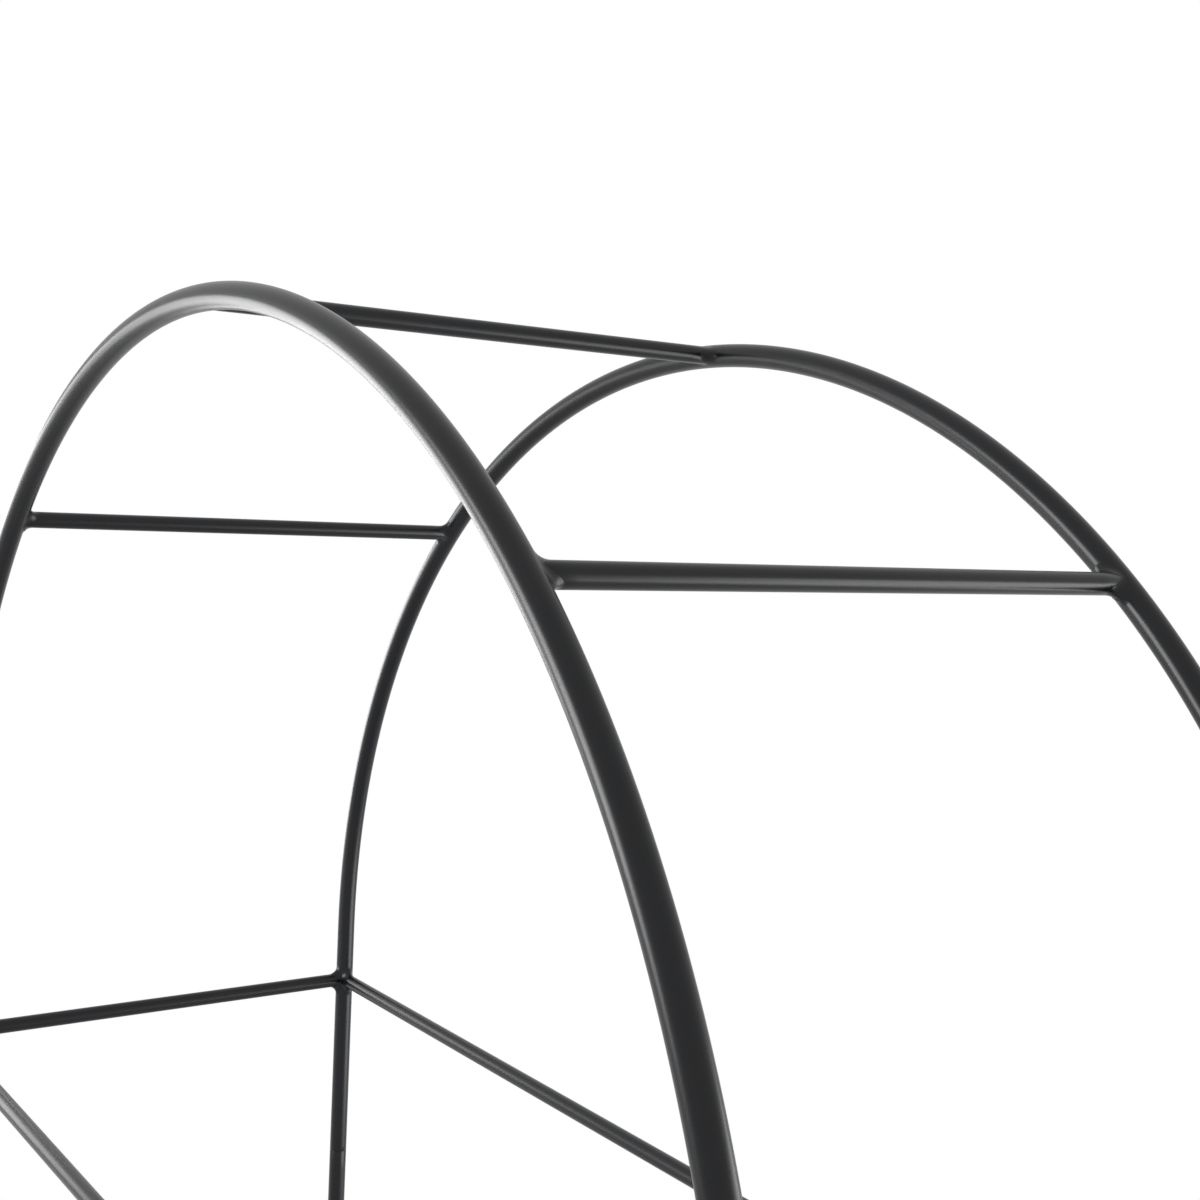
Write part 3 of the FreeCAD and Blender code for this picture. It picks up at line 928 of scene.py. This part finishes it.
class TRELLIS_OT_feet(bpy.types.Operator):
    """Lay the foot plates and weld the legs to them"""

    bl_idname = "trellis.feet"
    bl_label = "Foot Plates"

    def execute(self, context):
        welds = context.scene.trellis_welds
        bead = Bead(FOOT_SEED)
        for end, side in CORNERS:
            node = f"{end}_{side}_foot_plate"
            piece = linked(f"{node}_pressed", self.merged(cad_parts[node]))
            soften(piece, "Edges", 0.45 * MM, 3, 40)
            piece.data.materials.clear()
            piece.data.materials.append(finish_named("powder_coat"))
            settle(piece, "powder_coat", node)
            foot = middle(f"{end}_{side}_leg")
            foot.z = PLATE_TOP
            bead.skirt(foot, TUBE_RADIUS, welds.foot_fillet, welds.sway * 0.5)
        make_weld("foot_welds", bead)
        return {"FINISHED"}

    @staticmethod
    def merged(node):
        """A merged copy of a frame node's mesh, with its flat faces whole."""
        work = bmesh.new()
        work.from_mesh(node.data)
        bmesh.ops.remove_doubles(work, verts=work.verts, dist=1e-6)
        bmesh.ops.dissolve_limit(
            work, angle_limit=math.radians(1), verts=work.verts, edges=work.edges
        )
        bmesh.ops.recalc_face_normals(work, faces=work.faces)
        for face in work.faces:
            face.smooth = abs(face.normal.z) < 0.5
        mesh = bpy.data.meshes.new(f"{node.name}_plate")
        work.to_mesh(mesh)
        work.free()
        return mesh


# Fixings ------------------------------

class TrellisFixings(bpy.types.PropertyGroup):
    """Sizes of the screw heads at the tube joints."""

    head_radius: length_setting("Head Radius", "Radius of the button head", 4.75)
    head_height: length_setting("Head Height", "Height of the button head", 2.75)
    socket_flats: length_setting("Socket Flats", "Width of the hexagon socket", 3)
    socket_depth: length_setting("Socket Depth", "Depth of the hexagon socket", 1.6)
    shank_radius: length_setting("Shank Radius", "Radius of the threaded shank", 2.5)


SHANK_LENGTH = 10 * MM
THREAD_PITCH = 0.8 * MM
SHANK_TIP = 0.4 * MM
DOME_TURN = math.radians(62)
SCREW_SIDES = 36
SPIN_SEED = 5
SOFT_TURN = math.radians(35)    # a screw's faces are smooth where they turn by less


def screw_mesh(fixings, shank_length):
    """A button-head screw along Z: the head's underside is at zero and its dome points up."""
    radius, height, shank = fixings.head_radius, fixings.head_height, fixings.shank_radius
    rim = 0.22 * height
    socket = fixings.socket_flats / 2 / math.cos(math.pi / 6)
    sides = SCREW_SIDES
    turn = -shank_length + SHANK_TIP
    outline = [(shank * 0.8, -shank_length), (shank, turn)]
    while turn + THREAD_PITCH < -0.6 * MM:
        outline += [(shank * 0.86, turn + THREAD_PITCH / 2), (shank, turn + THREAD_PITCH)]
        turn += THREAD_PITCH
    outline += [(shank, -0.02 * MM), (radius * 0.93, 0.0), (radius, rim * 0.5), (radius, rim)]
    for k in range(1, 9):
        lift = k / 8 * DOME_TURN
        up = rim + (height - rim) * math.sin(lift) / math.sin(DOME_TURN)
        outline.append((radius * math.cos(lift) ** 0.9, up))
    outline += [(socket * 1.22, height), (socket * 1.08, height - 0.12 * MM)]
    angles = [math.tau * k / sides for k in range(sides)]
    points, faces = [], []
    for out, up in outline:
        points += [(out * math.cos(angle), out * math.sin(angle), up) for angle in angles]

    for up in (height - 0.14 * MM, height - fixings.socket_depth):
        for angle in angles:
            flat = (angle + math.pi / 6) % (math.pi / 3) - math.pi / 6
            out = fixings.socket_flats / 2 / math.cos(flat)
            points.append((out * math.cos(angle), out * math.sin(angle), up))
    rings = len(points) // sides
    for ring in range(rings - 1):
        for k in range(sides):
            j = (k + 1) % sides
            here, above = ring * sides, (ring + 1) * sides
            faces.append((here + k, here + j, above + j, above + k))
    faces.append(tuple(range(sides))[::-1])
    top = (rings - 1) * sides
    faces.append(tuple(top + k for k in range(sides)))
    mesh = bpy.data.meshes.new("joint_screw")
    mesh.from_pydata(points, [], faces)
    face_out(mesh)
    return mesh


def screw_tree():
    """Set one screw on every point, its head turned the way the point says."""
    tree = ShapeTree("Joint_Screws", Material="Material")
    aim = tree.aimed("Z", tree.attribute("way", "FLOAT_VECTOR"))
    spin = {"Axis": (0.0, 0.0, 1.0), "Angle": tree.chance(0.0, 1.0, SPIN_SEED)}
    turned = tree.add(
        "FunctionNodeRotateRotation",
        {"rotation_space": "LOCAL"},
        {"Rotation": aim, "Rotate By": tree.add("FunctionNodeAxisAngleToRotation", None, spin)},
    )
    pattern = {"Object": bpy.data.objects["joint_screw_pattern"]}
    space = {"transform_space": "ORIGINAL"}
    info = tree.add("GeometryNodeObjectInfo", space, pattern, "Geometry")
    return tree.close(tree.placed(tree.named("Geometry"), info, Rotation=turned))


class TRELLIS_OT_fixings(bpy.types.Operator):
    """Drive the screws into the tube joints and finish the hidden joint parts"""

    bl_idname = "trellis.fixings"
    bl_label = "Joint Fixings"

    def execute(self, context):
        fixings = context.scene.trellis_fixings
        low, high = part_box("joint_screws")
        middle_z = (low[2] + high[2]) / 2
        offset = (high[2] - low[2]) / 2 - fixings.head_radius
        seat = high[0] - fixings.head_height
        pattern = linked("joint_screw_pattern", screw_mesh(fixings, SHANK_LENGTH))
        points, ways = [], []
        for end, side in CORNERS:
            sign = side_sign(side)
            for step in (-1, 1):
                points.append((sign * seat, end_place(end), middle_z + step * offset))
                ways += [sign, 0.0, 0.0]
        spots = bpy.data.meshes.new("joint_screw_places")
        spots.from_pydata(points, [], [])
        keep_values(spots, "way", "FLOAT_VECTOR", ways)
        coat = {"Material": finish_named("screw_black")}
        piece = grown("joint_screws_set", screw_tree(), coat, spots)
        bpy.data.objects.remove(pattern)
        piece.data.polygons.foreach_set("use_smooth", [True] * len(piece.data.polygons))
        piece.data.set_sharp_from_angle(angle=SOFT_TURN)
        settle(piece, "screw_black", "joint_screws")
        zinc = finish_named("zinc_steel")
        for name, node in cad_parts.items():
            if name == "joint_nuts" or name.endswith("_spigot"):
                node.data.materials.clear()
                node.data.materials.append(zinc)
        return {"FINISHED"}


# Studio -------------------------------

class TrellisFinish(bpy.types.PropertyGroup):
    """Colours and sheen of the finishes."""

    coat_colour: colour_setting("Coat Colour", "Black powder coat", (0.0034, 0.0038, 0.0050))
    coat_variation: FloatProperty(
        name="Coat Variation", description="Pale clouds against the dark ones", default=1.7
    )
    dust_colour: colour_setting("Dust Colour", "Faint dust on the coat", (0.05, 0.049, 0.046))
    coat_roughness: share_setting("Coat Roughness", "Mean roughness of the coat", 0.29)
    coat_sheen: share_setting("Coat Sheen", "Strength of the coat's reflection", 0.28)
    peel_scale: FloatProperty(
        name="Peel Scale", description="Bumps of orange peel to the metre", default=650.0
    )
    peel_depth: length_setting("Peel Depth", "Height of the orange peel", 0.0025, precision=6)
    screw_colour: colour_setting("Screw Colour", "Black oxide", (0.035, 0.035, 0.037))
    zinc_colour: colour_setting("Zinc Colour", "Bright zinc", (0.62, 0.64, 0.66))


class TrellisStudio(bpy.types.PropertyGroup):
    """Floor, lamps and camera."""

    camera_place: FloatVectorProperty(
        name="Camera Place",
        description="Where the camera stands",
        default=(1.0414, -0.6192, 2.4261),
        subtype="TRANSLATION",
        unit="LENGTH",
    )
    camera_turn: angle_setting("Camera Turn", "Camera's turn from straight ahead", -0.9575)
    camera_tilt: angle_setting("Camera Tilt", "Camera's tilt above the level", -0.0551)
    camera_roll: angle_setting("Camera Roll", "Camera's roll about its view", 0.0448)
    lens: FloatProperty(
        name="Lens", description="Focal length in millimetres", default=49.958, min=10
    )
    floor_colour: colour_setting("Floor Colour", "Pale studio floor", (0.82, 0.82, 0.82))
    key_power: power_setting("Key Power", "Soft lamp left of the camera", 57.0)
    side_power: power_setting("Side Power", "Wide soft lamp on the left", 29.0)
    rim_power: power_setting("Rim Power", "Soft lamp behind on the right", 78.0)
    sky_level: share_setting("Sky Level", "Even light from all round", 0.45)


FLOOR_RADIUS = 24.0
FADE_RADIUS = 6.0
WHITE = (1.0, 1.0, 1.0, 1.0)


def seen_as_white(nodes):
    """1 for rays from the camera, reflections and clear pieces, 0 for rays that carry light."""
    light = nodes.add("ShaderNodeLightPath", None, None, "Is Camera Ray")
    rays = light + light.beside("Is Glossy Ray") + light.beside("Is Transmission Ray")
    return nodes.math("MINIMUM", rays, 1.0)


class TRELLIS_OT_studio(bpy.types.Operator):
    """Set up the floor, the lamps and the camera"""

    bl_idname = "trellis.studio"
    bl_label = "Studio"

    def execute(self, context):
        studio = context.scene.trellis_studio
        context.scene.view_settings.view_transform = "Standard"
        self.camera(context, studio)
        self.floor(studio)
        self.world(context, studio)
        self.lamp("Key", (-1.12, -2.28, 2.42), (0.3, -0.2, 2.2), (1.2, 1.2), studio.key_power)
        self.lamp("Side", (-2.65, -0.5, 2.16), (0.0, 0.0, 2.4), (1.8, 1.0), studio.side_power)
        self.lamp("Rim", (1.75, 2.45, 1.55), (0.35, 0.1, 2.35), (2.4, 1.9), studio.rim_power)
        return {"FINISHED"}

    @staticmethod
    def camera(context, studio):
        """A camera level with the top of the arch, just outside the front hoop."""
        turn, tilt, roll = studio.camera_turn, studio.camera_tilt, studio.camera_roll
        level = math.cos(tilt)
        ahead = Vector((level * math.sin(turn), level * math.cos(turn), math.sin(tilt)))
        right = Vector((math.cos(turn), -math.sin(turn), 0.0))
        above = right.cross(ahead)
        side = right * math.cos(roll) + above * math.sin(roll)
        top = above * math.cos(roll) - right * math.sin(roll)
        data = bpy.data.cameras.new("Camera")
        data.lens = studio.lens
        data.sensor_width = 36.0
        data.clip_start = 0.01
        camera = linked("Camera", data)
        place = Matrix((side, top, -ahead)).transposed().to_4x4()
        place.translation = Vector(studio.camera_place)
        camera.matrix_world = place
        context.scene.camera = camera

    @staticmethod
    def floor(studio):
        """A pale round floor that fades into the white far away."""
        mesh = bpy.data.meshes.new("studio_floor")
        work = bmesh.new()
        bmesh.ops.create_circle(work, cap_ends=True, segments=96, radius=FLOOR_RADIUS)
        work.to_mesh(mesh)
        work.free()
        floor = linked("studio_floor", mesh)
        material, nodes, place = new_material("studio_floor")
        far = nodes.vector("LENGTH", place, output="Value")
        fade = nodes.ramp(far / FADE_RADIUS, (0.2, 0.0), (0.6, 1.0))
        seen = seen_as_white(nodes)
        sockets = {"Base Color": solid(studio.floor_colour), "Roughness": 0.8}
        matte = nodes.add("ShaderNodeBsdfPrincipled", None, sockets)
        white = nodes.add("ShaderNodeEmission", None, {"Color": WHITE, "Strength": 1.0})
        both = nodes.add("ShaderNodeMixShader", None, {"Fac": fade * seen, 1: matte, 2: white})
        nodes.add("ShaderNodeOutputMaterial", None, {"Surface": both})
        mesh.materials.append(material)

    @staticmethod
    def world(context, studio):
        """White all round, with an even light of its own level."""
        world = bpy.data.worlds.new("studio_world")
        world.use_nodes = True
        nodes = Nodes(world.node_tree)
        level = studio.sky_level + seen_as_white(nodes) * (1.0 - studio.sky_level)
        background = nodes.add("ShaderNodeBackground", None, {"Color": WHITE, "Strength": level})
        nodes.add("ShaderNodeOutputWorld", None, {"Surface": background})
        context.scene.world = world

    @staticmethod
    def lamp(name, place, target, size, power):
        """One soft rectangular lamp that faces its target."""
        data = bpy.data.lights.new(name, "AREA")
        data.shape = "RECTANGLE"
        data.size, data.size_y = size
        data.energy = power
        lamp = linked(name, data)
        lamp.location = place
        aim = Vector(target) - Vector(place)
        lamp.rotation_euler = aim.to_track_quat("-Z", "Y").to_euler()


class TRELLIS_PT_panel(bpy.types.Panel):
    """Sizes, finishes and steps of the trellis arch"""

    bl_label = "Trellis Arch"
    bl_idname = "TRELLIS_PT_panel"
    bl_space_type = "VIEW_3D"
    bl_region_type = "UI"
    bl_category = "Trellis Arch"

    def draw(self, context):
        layout = self.layout
        for step in STEPS:
            layout.operator(step.bl_idname)
        for name in GROUPS:
            box = layout.box()
            settings = getattr(context.scene, name)
            for key in settings.bl_rna.properties.keys():
                if key not in ("rna_type", "name"):
                    box.prop(settings, key)


GROUPS = {
    "trellis_tubes": TrellisTubes,
    "trellis_welds": TrellisWelds,
    "trellis_fixings": TrellisFixings,
    "trellis_finish": TrellisFinish,
    "trellis_studio": TrellisStudio,
}
STEPS = (
    TRELLIS_OT_hoops,
    TRELLIS_OT_legs,
    TRELLIS_OT_rungs,
    TRELLIS_OT_rails_and_ties,
    TRELLIS_OT_welds,
    TRELLIS_OT_feet,
    TRELLIS_OT_fixings,
    TRELLIS_OT_studio,
)


def register():
    """Register the classes and hang the settings on the scene."""
    for group in GROUPS.values():
        bpy.utils.register_class(group)
    for name, group in GROUPS.items():
        setattr(bpy.types.Scene, name, PointerProperty(type=group))
    for step in STEPS:
        bpy.utils.register_class(step)
    bpy.utils.register_class(TRELLIS_PT_panel)


def unregister():
    """Take the classes and settings away again."""
    bpy.utils.unregister_class(TRELLIS_PT_panel)
    for step in reversed(STEPS):
        bpy.utils.unregister_class(step)
    for name in GROUPS:
        delattr(bpy.types.Scene, name)
    for group in reversed(list(GROUPS.values())):
        bpy.utils.unregister_class(group)


def main():
    """Build the arch and the studio."""
    register()
    for step in STEPS:
        family, action = step.bl_idname.split(".")
        getattr(getattr(bpy.ops, family), action)()


if __name__ == "__main__":
    main()
